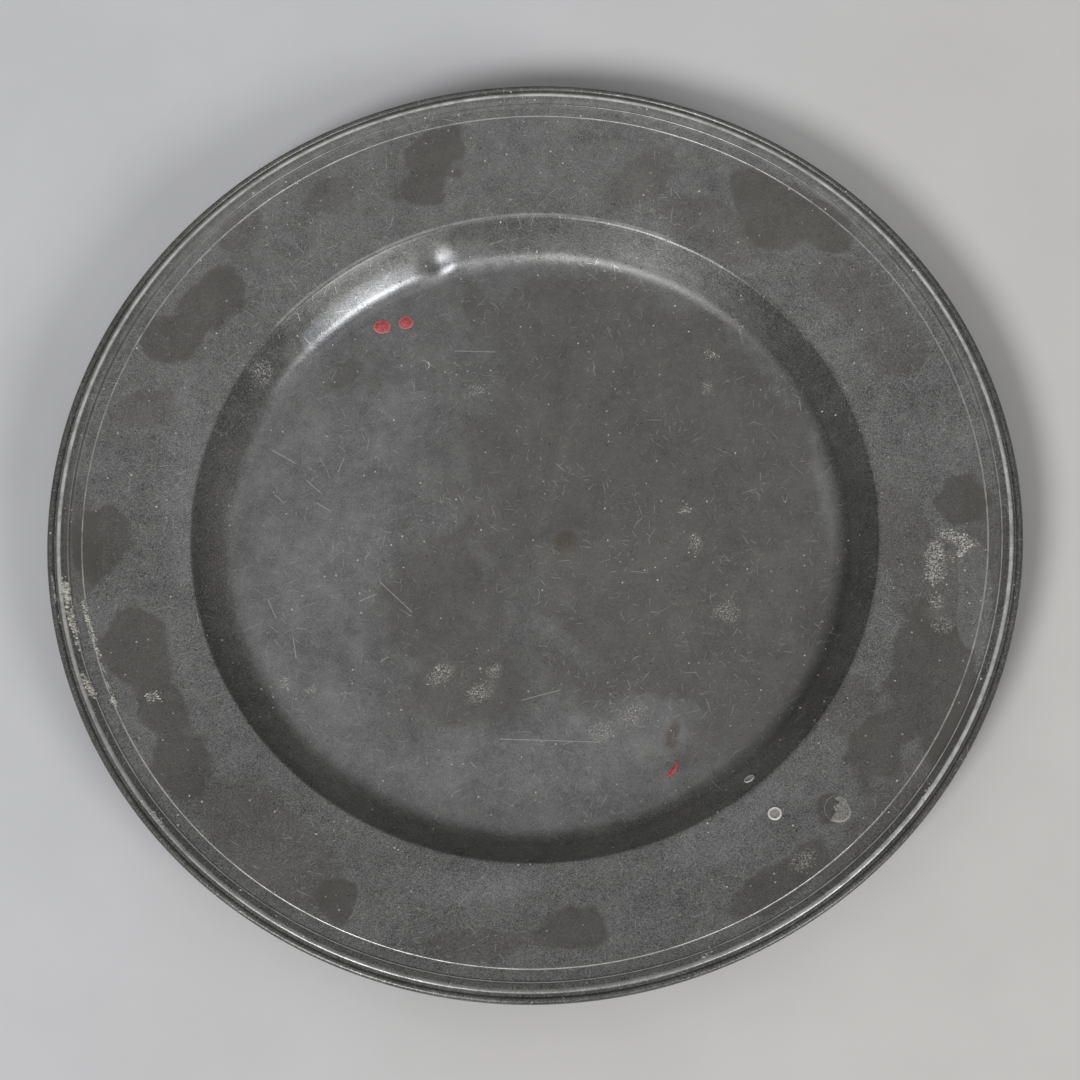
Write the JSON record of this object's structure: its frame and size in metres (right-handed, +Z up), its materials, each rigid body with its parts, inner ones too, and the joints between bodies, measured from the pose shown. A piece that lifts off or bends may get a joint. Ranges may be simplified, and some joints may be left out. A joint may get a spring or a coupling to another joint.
{
  "type": "charger plate",
  "caption": "Large round pewter charger with a flat well, a sloping booge and a broad rising rim with a moulded edge, for serving or display; dull grey with stains and dried drops.",
  "frame": {"origin": "middle of the flat underside", "axes": "+Z up along the axis of turning; -Y towards the viewer of the picture"},
  "size_m": [0.42, 0.42, 0.0294],
  "materials": {
    "pewter": "dull oxidised pewter, stained and scratched, brighter on worn edges",
    "red_wax": "hard red wax",
    "dried_drop": "pale dried drop"
  },
  "bodies": {
    "root": {"charger": "pewter", "red_drop_large": "red_wax", "red_drop_small": "red_wax", "red_streak": "red_wax", "pale_drop_rim": "dried_drop", "pale_drop_booge": "dried_drop"}
  },
  "joints": []
}
